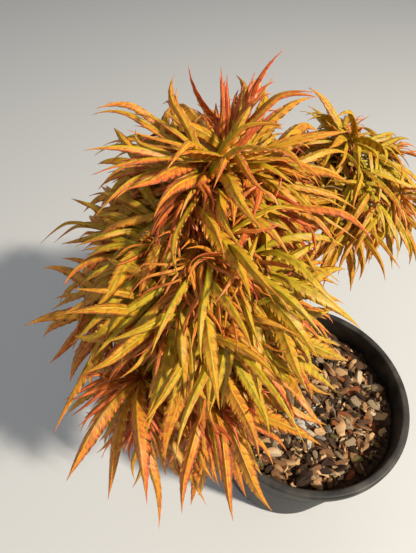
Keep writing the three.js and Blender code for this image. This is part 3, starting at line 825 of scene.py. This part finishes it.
def lobe(leaf, angle, length, wide, draw):
    """One closed lobe: seven points over the top and one under the rib in each row, and a tip."""
    spacing = LEAF_KINDS[leaf["kind"]]["spacing"]
    rows = max(FEWEST_ROWS, 2 * round(length / spacing / 2))
    u = (np.arange(rows) + FIRST_ROW) / rows
    ends = np.append(u, 1.0)
    outward = leaf["forward"] * math.cos(angle) + leaf["side"] * math.sin(angle)
    crosswise = np.cross(leaf["normal"], outward)
    lively = leaf["lively"]
    curl = between(TIP_CURL, draw()) * lively
    sway = between(SWAY, draw()) * lively
    twist = between(TWIST, draw()) * lively
    drop = DROOP_PULL * leaf["droop"] * ends**DROOP_ONSET
    bow = ARCH_PULL * leaf["arch"] * ends + curl * np.maximum(ends - CURL_START, 0)
    swing = sway * np.sin(ends * SWAY_PACE - SWAY_LAG)
    heading = outward - drop[:, None] * UP - bow[:, None] * leaf["normal"] + swing[:, None] * crosswise
    stride = np.diff(ends, prepend=0)[:, None]
    centre = leaf["hub"] + length * np.cumsum(unit(heading) * stride, axis=0)
    along = unit(np.gradient(centre, axis=0))
    over = unit(crosswise - (along @ crosswise)[:, None] * along)
    up = np.cross(along, over)
    turn = (twist * ends)[:, None]
    over, up = over * np.cos(turn) + up * np.sin(turn), up * np.cos(turn) - over * np.sin(turn)
    swell = (u / WIDEST) ** HEAD * ((1 - u) / (1 - WIDEST)) ** TAIL
    half = wide * length * swell + FOOT_WIDTH * (1 - u) + TIP_WIDTH
    vein = np.where(np.arange(rows) % 2, 1.0, -1.0)
    toothed = np.clip((u - TEETH_START) * TEETH_ONSET, 0, 1)
    fold = LOBE_FOLD * between(FOLD_SHARE, draw())
    toothed *= between(TOOTH_SHARE, draw())
    across = half[:, None] * STRIPS
    across[:, EDGES] *= (1 + TOOTH * vein * toothed)[:, None]
    rib_side = np.sign(STRIPS[list(RIB_FEET)])
    across[:, RIB_FEET] = np.minimum(half * RIB_WIDTH_SHARE, RIB_WIDTH)[:, None] * rib_side
    height = -fold * np.abs(across) - BULGE * across**2 / half[:, None]
    height[:, MIDDLES] -= (PLEAT * half * vein)[:, None]
    height[:, RIB] += np.minimum(RIB_HEIGHT, RIB_HEIGHT_SHARE * half)
    height[:, UNDER] -= BLADE
    ahead = VEIN_SLANT * np.abs(across) * np.clip((1 - u) * VEIN_SLANT_FADE, 0, 1)[:, None]
    ahead[:, EDGES] += (TOOTH_HOOK * spacing * vein * toothed)[:, None]
    points = centre[:-1, None] + across[..., None] * over[:-1, None]
    points = points + height[..., None] * up[:-1, None] + ahead[..., None] * along[:-1, None]
    return np.concatenate([points.reshape(-1, 3), centre[-1:]]), rows, ends


def lobe_faces(rows):
    """The triangles of a lobe, with the strip and the row that each lies in and its side of a vein."""
    first = np.arange(ROUND)
    second = (first + 1) % ROUND
    base = (np.arange(rows - 1) * ROUND)[:, None]
    a, b, c, d = base + first, base + second, base + ROUND + second, base + ROUND + first
    strip = np.broadcast_to(first, a.shape).ravel()
    row = np.broadcast_to(np.arange(rows - 1)[:, None], a.shape).ravel()
    before_rib = first < RIB
    low = np.where(before_rib[:, None], np.stack([a, b, d], -1), np.stack([a, b, c], -1))
    high = np.where(before_rib[:, None], np.stack([b, c, d], -1), np.stack([a, c, d], -1))
    end = (rows - 1) * ROUND
    cap = np.array([(0, place + 1, place) for place in range(1, ROUND - 1)])
    tip = np.stack([end + first, end + second, np.full(ROUND, rows * ROUND)], -1)
    triangles = np.concatenate([low.reshape(-1, 3), high.reshape(-1, 3), tip, cap])
    strips = np.concatenate([strip, strip, first, np.full(len(cap), RIB)])
    places = np.concatenate([row, row, np.full(ROUND, rows - 1), np.zeros(len(cap), int)])
    veins = np.concatenate([np.full(len(strip), -1.0), np.full(len(strip), 1.0), np.zeros(ROUND + len(cap))])
    return triangles[:, ::-1], strips, places, veins


FACES = {rows: lobe_faces(rows) for rows in range(FEWEST_ROWS, MOST_ROWS, 2)}
# How much redder a mass is than the others, how wide its lobes are and how much they curl
PLAIN_HABIT = (0.0, 1.0, 1.0)
MASS_HABITS = {
    "crown_top": (0.06, 0.92, 1.0),
    "front": (-0.06, 1.0, 1.0),
    "right": (0.29, 0.74, 1.5),
    "left": (0.02, 0.95, 1.4),
    "foot_front": (0.13, 1.0, 1.0),
    "foot_left": (0.07, 1.0, 1.3),
    "side_front": (-0.06, 1.0, 1.0),
    "side_rear": (-0.06, 1.0, 1.0),
}
RIM_RADIUS = 82.5
ROLL_OUT = 4.0
POT_WALL = 2.0
POT_MARGIN = 1.5
CHIPS_ABOVE = 2


def hits_pot(points):
    """Whether any of the points lies in the pot's wall, its rim or the mulch."""
    from_axis = np.hypot(points[:, 0], points[:, 1])
    inside = from_axis < RIM_RADIUS - ROLL_OUT - POT_WALL - POT_MARGIN
    lowest = np.where(inside, POT_HEIGHT - MULCH_DROP + CHIPS_ABOVE, POT_HEIGHT)
    return np.any((points[:, 2] < lowest + POT_MARGIN) & (from_axis < RIM_RADIUS + POT_MARGIN))


TINT_SEED = 9000
TINT_SEED_STEP = 37
SPRAY_TINT = (0.09, 0.31)
LEAF_TINT = (-0.07, 0.09)
OLD_LEAF_TINT = -0.08
MARGIN_TINT = (0.4, 1.15)
TIP_TINT = (0.20, 0.42)
TIP_TINT_ONSET = 1.6
MOTTLE_TINT = 0.06
VEIN_TINT = 0.06
VEIN_SHARE = 0.3
DULL_FROM = 0.3
FAN_JITTER = (-6, 6)
LENGTH_JITTER = (0.9, 1.06)
WIDTH_JITTER = (0.86, 1.12)
CUT_SHORT = 0.6
for mass in masses:
    heap = Heap()
    mass_tint, mass_width, mass_curl = MASS_HABITS.get(mass["name"], PLAIN_HABIT)
    for tuft in mass["tufts"]:
        draw = seeded(TINT_SEED + TINT_SEED_STEP * tuft["number"])
        mottle = np.random.default_rng(tuft["number"])
        spray_tint = between(SPRAY_TINT, draw()) + mass_tint
        for leaf in tuft["leaves"]:
            kind = LEAF_KINDS[leaf["kind"]]
            own_tint = spray_tint + between(LEAF_TINT, draw()) + OLD_LEAF_TINT * leaf["share"] + kind["tint"]
            seven = leaf["kind"] == "grown" and leaf["share"] > SEVEN_LOBE_SHARE
            width = LOBE_WIDTH / 2 * mass_width * between(kind["wide"], draw())
            leaf["lively"] = kind["lively"] * mass_curl
            margin = between(MARGIN_TINT, draw())
            for degrees, part in SEVEN_LOBES if seven else FIVE_LOBES:
                angle = math.radians(degrees * kind["fan"] + between(FAN_JITTER, draw()))
                length = DRAPE_LENGTH * leaf["length"] * part * between(LENGTH_JITTER, draw())
                points, rows, ends = lobe(leaf, angle, length, width * between(WIDTH_JITTER, draw()), draw)
                if hits_pot(points):
                    points, rows, ends = lobe(leaf, angle, length * CUT_SHORT, width, draw)
                if hits_pot(points):
                    continue
                triangles, strips, places, veins = FACES[rows]
                reddening = between(TIP_TINT, draw()) * ends[places] ** TIP_TINT_ONSET
                patches = mottle.uniform(-1, 1, (rows, ROUND))[places, strips] + VEIN_SHARE * veins
                tint = own_tint + reddening + margin * STRIP_TINTS[strips]
                tint = np.clip(tint + MOTTLE_TINT * patches + VEIN_TINT * veins, 0, 1)
                if leaf["kind"] == "inner":
                    index = 2 * BRIGHT_TINTS + np.round(tint * (SHADED_TINTS - 1))
                else:
                    index = np.round(tint * (BRIGHT_TINTS - 1)) + BRIGHT_TINTS * (patches > DULL_FROM)
                heap.add(points, triangles, index.astype(np.int32))
    heap.piece("leaves_" + mass["name"], leaf_tints, ["foliage_" + mass["name"]])


# Pot
# A thin black plastic nursery pot, blow moulded in one piece, with a rolled rim, two shallow rings under
# it and drain slots round the foot. Dust and dried splashes dull it towards the rim, and the lighter colour
# there also stands for a painted highlight on the lit rim.

BASE_RADIUS = 62.0
POT_FLOOR = 3.0
POT_SIDES = 144
BASE_BEVEL = 3.0
FLOOR_BEVEL = 0.6
ROLL_FOOT = POT_HEIGHT - 9.0
WALL_TOP = RIM_RADIUS - ROLL_OUT
WALL_START = 8
WALL_ROWS = 64
INSIDE_TOP = 150
INSIDE_ROWS = 12
RING_HEIGHTS = (118.0, 128.0)
RING_RISE = 0.5
RING_WIDTH = 1.6
UNDER_ROLL_ROUND = 1.4
OUTER_ROUND = 2.2
INNER_ROUND = 1.6
DRAIN_COUNT = 6
DRAIN_SIZE = (22.0, 16.0, 18.0)
POT_CREASE = 40


def arc(centre, radius, start, end, steps):
    """Points of a rounded corner in a profile."""
    angles = [math.radians(angle) for angle in np.linspace(start, end, steps)]
    return [(centre[0] + radius * math.cos(angle), centre[1] + radius * math.sin(angle)) for angle in angles]


def wall_radius(height):
    """The pot's outer radius, with its two shallow rings."""
    rings = sum(RING_RISE * math.exp(-(((height - middle) / RING_WIDTH) ** 2)) for middle in RING_HEIGHTS)
    return BASE_RADIUS + (WALL_TOP - BASE_RADIUS) * (height / ROLL_FOOT) + rings


# From the middle of the underside, out and up the wall, over the rolled rim and down the inside
profile = [(0.0, 0.0), (BASE_RADIUS - BASE_BEVEL, 0.0)]
profile += arc((BASE_RADIUS - BASE_BEVEL, BASE_BEVEL), BASE_BEVEL, -80, 0, 6)
profile += [(wall_radius(height), height) for height in np.linspace(WALL_START, ROLL_FOOT - 1, WALL_ROWS)]
profile += [(WALL_TOP + 0.6, ROLL_FOOT), (RIM_RADIUS - 1.5, ROLL_FOOT - 0.2)]
profile += arc((RIM_RADIUS - UNDER_ROLL_ROUND, ROLL_FOOT + 1.3), UNDER_ROLL_ROUND, -80, 0, 5)
profile += arc((RIM_RADIUS - OUTER_ROUND, POT_HEIGHT - OUTER_ROUND), OUTER_ROUND, 0, 90, 7)
profile += arc((WALL_TOP - POT_WALL + INNER_ROUND, POT_HEIGHT - INNER_ROUND), INNER_ROUND, 90, 180, 6)
inside = np.linspace(INSIDE_TOP, POT_FLOOR + 1, INSIDE_ROWS)
profile += [(wall_radius(height) - POT_WALL, height) for height in inside]
profile += [(BASE_RADIUS - POT_WALL - FLOOR_BEVEL, POT_FLOOR), (0.0, POT_FLOOR)]


def lathe(outline, sides):
    """A closed body turned round the Z axis from an outline that starts and ends on the axis."""
    angles = np.arange(sides) / sides * FULL_TURN
    radius, height = np.array(outline[1:-1]).T[:, :, None]
    rings = np.stack([
        radius * np.cos(angles),
        radius * np.sin(angles),
        np.broadcast_to(height, (len(height), sides)),
    ], -1)
    ends = [[0, 0, outline[0][1]], [0, 0, outline[-1][1]]]
    return np.concatenate([rings.reshape(-1, 3), ends]), ring_faces(len(rings), sides)


# Dust towards the top of the pot; its lighter colour at the rim is also a painted highlight on the lit rim
DUST_AND_HIGHLIGHT_COLOUR = (150, 142, 130)
DUST_AND_HIGHLIGHT_HEIGHTS = (0.135, 0.163)
DUST_AND_HIGHLIGHT_SHARES = (0.02, 0.24)
DUST_AND_HIGHLIGHT_PATCHES = 55
DUST_AND_HIGHLIGHT_CONTRAST = 2.5


def rim_dust_and_highlight(material):
    """Dust that thickens towards the rim, over the plastic's own satin sheen; the lighter colour there also
    stands for a painted highlight on the lit rim.
    """
    nodes, links = material.node_tree.nodes, material.node_tree.links
    shader = nodes["Principled BSDF"]
    plain = shader.inputs["Base Color"].links[0].from_socket
    place = nodes.new("ShaderNodeTexCoord")
    parts = nodes.new("ShaderNodeSeparateXYZ")
    links.new(place.outputs["Object"], parts.inputs[0])
    rise = nodes.new("ShaderNodeMapRange")
    rise.inputs["From Min"].default_value = DUST_AND_HIGHLIGHT_HEIGHTS[0]
    rise.inputs["From Max"].default_value = DUST_AND_HIGHLIGHT_HEIGHTS[1]
    rise.inputs["To Min"].default_value = DUST_AND_HIGHLIGHT_SHARES[0]
    rise.inputs["To Max"].default_value = DUST_AND_HIGHLIGHT_SHARES[1]
    links.new(parts.outputs["Z"], rise.inputs["Value"])
    mottle = nodes.new("ShaderNodeGroup")
    mottle.node_tree = MOTTLE
    mottle.inputs["Scale"].default_value = DUST_AND_HIGHLIGHT_PATCHES
    mottle.inputs["Contrast"].default_value = DUST_AND_HIGHLIGHT_CONTRAST
    amount = nodes.new("ShaderNodeMath")
    amount.operation = "MULTIPLY"
    links.new(rise.outputs[0], amount.inputs[0])
    links.new(mottle.outputs["Patches"], amount.inputs[1])
    dusty_and_lit = nodes.new("ShaderNodeMix")
    dusty_and_lit.data_type = "RGBA"
    dusty_and_lit.inputs["B"].default_value = linear(DUST_AND_HIGHLIGHT_COLOUR)
    links.new(amount.outputs[0], dusty_and_lit.inputs["Factor"])
    links.new(plain, dusty_and_lit.inputs["A"])
    links.new(dusty_and_lit.outputs["Result"], shader.inputs["Base Color"])


pot_plastic = grown_material(
    "Pot plastic",
    dark=(8, 9, 10),
    light=(16, 17, 19),
    rough=(0.4, 0.68),
    scale=90,
    stretch=1.0,
    contrast=1.6,
    bump=0.12,
    distance=0.0003,
    specular=0.32,
)
# Dust and a painted highlight, lighter towards the rim
rim_dust_and_highlight(pot_plastic)
heap = Heap()
heap.add(*lathe(profile, POT_SIDES))
pot = heap.piece("nursery_pot", [pot_plastic], ["pot"])
cutters = Heap()
BOX = np.array([(x, y, z) for x in (-0.5, 0.5) for y in (-0.5, 0.5) for z in (-0.5, 0.5)])
BOX_FACES = np.array([
    (0, 1, 3), (0, 3, 2), (4, 6, 7), (4, 7, 5), (0, 4, 5), (0, 5, 1),
    (2, 3, 7), (2, 7, 6), (0, 2, 6), (0, 6, 4), (1, 5, 7), (1, 7, 3),
])
for slot_number in range(DRAIN_COUNT):
    angle = slot_number / DRAIN_COUNT * FULL_TURN
    box = BOX * np.array(DRAIN_SIZE) + np.array([BASE_RADIUS, 0, 0])
    across, along = math.cos(angle), math.sin(angle)
    spin = np.array([(across, along, 0), (-along, across, 0), (0, 0, 1)])
    cutters.add(box @ spin, BOX_FACES)
cutter_points = np.concatenate(cutters.points) * MM
mesh = bpy.data.meshes.new("drain_cutters")
mesh.from_pydata(cutter_points.tolist(), [], np.concatenate(cutters.triangles).tolist())
cutter = bpy.data.objects.new("drain_cutters", mesh)
bpy.context.scene.collection.objects.link(cutter)
cut = pot.modifiers.new("Drain slots", "BOOLEAN")
cut.operation = "DIFFERENCE"
cut.solver = "EXACT"
cut.object = cutter
drilled = bpy.data.meshes.new_from_object(pot.evaluated_get(bpy.context.evaluated_depsgraph_get()))
pot.modifiers.clear()
pot.data = drilled
pot.data.shade_smooth()
pot.data.set_sharp_from_angle(angle=math.radians(POT_CREASE))
bpy.data.objects.remove(cutter)


# Bark mulch
# Dry bark chips lie two or three deep on the potting mix, a finger's breadth under the rim. They are tan,
# brown, grey and faded olive, with a few pale fibrous pieces.

MULCH_BUMP = 2.4
MULCH_WAVE = (0.11, 0.13)
MULCH_WAVE_SHIFT = 1
MULCH_RIPPLE = (0.31, 0.27)
MULCH_RIPPLE_SHARE = 0.5
MULCH_LEVEL_RADIUS = 29.0
MULCH_ROUGH_RADIUS = 46.0
MULCH_RADIUS = 75.0
MULCH_SIDES = 96
MULCH_RINGS = 34
MULCH_EDGE = (MULCH_RADIUS - 0.4, 138.0)
MULCH_INNERMOST = 2.0
LUMP_PACE = 0.22
LUMP_SEED = 4.0
LUMP_HEIGHT = 1.3
LUMPS_UNDER = 1.0


def mulch_height(x, y):
    """The mulch's top, level under the trunk and uneven round it."""
    from_trunk = math.hypot(x - TRUNK_FOOT[0], y - TRUNK_FOOT[1])
    share = (from_trunk - MULCH_LEVEL_RADIUS) / (MULCH_ROUGH_RADIUS - MULCH_LEVEL_RADIUS)
    share = min(1.0, max(0.0, share))
    wave = math.sin(x * MULCH_WAVE[0] + MULCH_WAVE_SHIFT) * math.cos(y * MULCH_WAVE[1])
    ripple = MULCH_RIPPLE_SHARE * math.sin(x * MULCH_RIPPLE[0] - y * MULCH_RIPPLE[1])
    return POT_HEIGHT - MULCH_DROP + share * share * (3 - 2 * share) * MULCH_BUMP * (wave + ripple)


mix = grown_material(
    "Potting mix",
    dark=(38, 27, 20),
    light=(98, 72, 52),
    rough=(0.85, 1.0),
    scale=330,
    stretch=1.0,
    contrast=2.6,
    bump=0.8,
    distance=0.0012,
    specular=0.2,
)
levels = [(BASE_RADIUS - POT_WALL - FLOOR_BEVEL, POT_FLOOR + CLEAR), MULCH_EDGE]
levels += [(radius, None) for radius in np.linspace(MULCH_RADIUS, MULCH_INNERMOST, MULCH_RINGS)]
points = []
for radius, height in levels:
    for angle in np.arange(MULCH_SIDES) / MULCH_SIDES * FULL_TURN:
        x, y = radius * math.cos(angle), radius * math.sin(angle)
        lump = noise.noise((x * LUMP_PACE, y * LUMP_PACE, LUMP_SEED)) * LUMP_HEIGHT - LUMPS_UNDER
        points.append((x, y, mulch_height(x, y) + lump if height is None else height))
points += [(0.0, 0.0, POT_FLOOR + CLEAR), (0.0, 0.0, mulch_height(0, 0) - LUMPS_UNDER)]
heap = Heap()
heap.add(np.array(points), ring_faces(len(levels), MULCH_SIDES))
heap.piece("potting_mix", [mix], ["bark_mulch"])

CHIP_SEED = 77
CHIP_COUNT = 1700
CHIP_TINTS = (
    (206, 166, 118), (166, 126, 86), (128, 92, 62), (90, 65, 46), (54, 40, 31),
    (146, 126, 98), (196, 174, 140), (112, 100, 56), (138, 80, 46), (138, 130, 118), (184, 176, 162),
)
# The share of the chips that have each tint or one before it; the last two tints lie in the pale patch
CHIP_SHARES = (0.12, 0.27, 0.43, 0.62, 0.78, 0.86, 0.90, 0.95, 1.0)
PALE_PATCH = (0.0, -18.0)
PALE_RADIUS = 17.0
PALE_UNDER = 0.2
PALEST_SHARE = 0.5
CHIP_SPREAD = MULCH_RADIUS - 5
CHIP_REACH = MULCH_RADIUS - 0.5
TRUNK_ROOM = 12
SHORTEST_CHIP = 2.5
LONGER_BY = 12
FEW_LONG = 2.4
CHIP_WIDTH = (0.3, 0.75)
CHIP_DEPTH = (0.3, 0.8)
CHIP_PILE = 3.4
CHIP_SUNK = 1.2
CHIP_SLOPE = (-0.6, 0.6)
CHIP_ROLL = (-1.0, 1.0)
CHIP_CORNERS = 6
CHIP_FIRST_TURN = 0.5
CHIP_ROUGH = (0.62, 1.15)
CHIP_SPLINTER = 0.1
CHIP_MEAN_ROUGH = 0.9
CHIP_BEND = (-0.02, 0.02)
# Where a chip's rings lie along it, with their sizes, and where its two ends lie
CHIP_RINGS = ((-0.5, 0.45), (-0.3, 0.9), (0.05, 1.0), (0.32, 0.85), (0.5, 0.4))
CHIP_ENDS = (-0.52, 0.53)
DRAWS_SKIPPED = 45
CHIP_CREASE = 38
CHIP_FACES = ring_faces(len(CHIP_RINGS), CHIP_CORNERS)
draw = seeded(CHIP_SEED)
heap = Heap()
for _ in range(CHIP_COUNT):
    radius = CHIP_SPREAD * math.sqrt(draw())
    angle = FULL_TURN * draw()
    x, y = radius * math.cos(angle), radius * math.sin(angle)
    large = draw()
    long = SHORTEST_CHIP + LONGER_BY * large**FEW_LONG
    wide = long * between(CHIP_WIDTH, draw())
    deep = wide * between(CHIP_DEPTH, draw())
    layer = draw()
    centre = np.array([x, y, mulch_height(x, y) + CHIP_PILE * layer - CHIP_SUNK])
    heading = FULL_TURN * draw()
    along = unit(np.array([math.cos(heading), math.sin(heading), between(CHIP_SLOPE, draw())]))
    over = turned(unit(np.cross(UP, along)), along, between(CHIP_ROLL, draw()))
    up = np.cross(along, over)
    from_trunk = math.hypot(x - TRUNK_FOOT[0], y - TRUNK_FOOT[1])
    reach = np.linalg.norm(centre[:2]) + long / 2
    if from_trunk < TRUNK_ROOM + long / 2 or reach > CHIP_REACH:
        for _ in range(DRAWS_SKIPPED):
            draw()
        continue
    points = []
    for share, size in CHIP_RINGS:
        bend = between(CHIP_BEND, draw()) * long
        for corner in range(CHIP_CORNERS):
            turn = corner / CHIP_CORNERS * FULL_TURN + CHIP_FIRST_TURN
            rough = between(CHIP_ROUGH, draw())
            points.append(
                centre + along * (share + CHIP_SPLINTER * (rough - CHIP_MEAN_ROUGH)) * long
                + over * (math.cos(turn) * wide / 2 * size * rough + bend)
                + up * math.sin(turn) * deep / 2 * size * rough
            )
    points += [centre + along * long * share for share in CHIP_ENDS]
    pick = draw()
    tint = next(tint for tint, share in enumerate(CHIP_SHARES) if pick <= share)
    if math.hypot(x - PALE_PATCH[0], y - PALE_PATCH[1]) < PALE_RADIUS * (PALE_UNDER + layer):
        tint = len(CHIP_TINTS) - 1 - (pick > PALEST_SHARE)
    heap.add(np.array(points), CHIP_FACES, tint)
chip_tints = [
    plain_material(f"Bark chip {tint + 1}", colour, rough=0.9, specular=0.2)
    for tint, colour in enumerate(CHIP_TINTS)
]
chips = heap.piece("bark_chips", chip_tints)
chips.data.set_sharp_from_angle(angle=math.radians(CHIP_CREASE))


# Floor, light and camera
# A pale studio floor, a low warm key light from the right as the sun is in the photo, a wide cool fill
# and a camera above the front of the crown that looks down at 50 degrees.

FLOOR_SIZE = 6.0
half = FLOOR_SIZE / 2
floor_mesh = bpy.data.meshes.new("floor")
floor_mesh.from_pydata(
    [(-half, -half, 0), (half, -half, 0), (half, half, 0), (-half, half, 0)],
    [],
    [(0, 1, 2, 3)],
)
floor = bpy.data.objects.new("floor", floor_mesh)
bpy.context.scene.collection.objects.link(floor)
floor_mesh.materials.append(plain_material("Pale floor", (205, 205, 203), rough=0.7, specular=0.3))


def area_light(name, place, target, size, power, colour):
    """A square soft light aimed at a point."""
    light = bpy.data.lights.new(name, "AREA")
    light.size = size
    light.energy = power
    light.color = colour
    lamp = bpy.data.objects.new(name, light)
    lamp.location = place
    away = np.array(place) - np.array(target)
    lamp.rotation_euler = (
        math.acos(away[2] / np.linalg.norm(away)),
        0,
        math.atan2(away[1], away[0]) + math.pi / 2,
    )
    bpy.context.scene.collection.objects.link(lamp)


area_light("Key", (1.10, -0.62, 1.60), (-0.05, 0.03, 0.27), size=0.12, power=54.0, colour=(1.0, 0.92, 0.80))
area_light("Fill", (-1.3, -1.4, 1.5), (-0.05, 0.03, 0.25), size=1.6, power=6.5, colour=(0.94, 0.96, 1.0))
area_light("Top", (-0.3, 0.9, 2.0), (-0.05, 0.03, 0.25), size=1.8, power=5.0, colour=(1.0, 0.98, 0.95))
SKY_COLOUR = (0.80, 0.84, 0.90, 1)
SKY_STRENGTH = 0.28
world = bpy.data.worlds.new("Studio")
world.use_nodes = True
world.node_tree.nodes["Background"].inputs["Color"].default_value = SKY_COLOUR
world.node_tree.nodes["Background"].inputs["Strength"].default_value = SKY_STRENGTH
bpy.context.scene.world = world
bpy.context.scene.view_settings.view_transform = "Standard"

PHOTO_FOCUS = 415.0
PHOTO_HEIGHT = 553.0
SENSOR = 36.0
CAMERA_PLACE = (-0.080, -0.149, 0.485)
CAMERA_TILT = 40
CAMERA_NEAR = 0.01
lens = bpy.data.cameras.new("Camera")
lens.sensor_width = SENSOR
lens.lens = PHOTO_FOCUS / PHOTO_HEIGHT * SENSOR
lens.clip_start = CAMERA_NEAR
camera = bpy.data.objects.new("Camera", lens)
camera.location = CAMERA_PLACE
camera.rotation_euler = (math.radians(CAMERA_TILT), 0, 0)
bpy.context.scene.collection.objects.link(camera)
bpy.context.scene.camera = camera
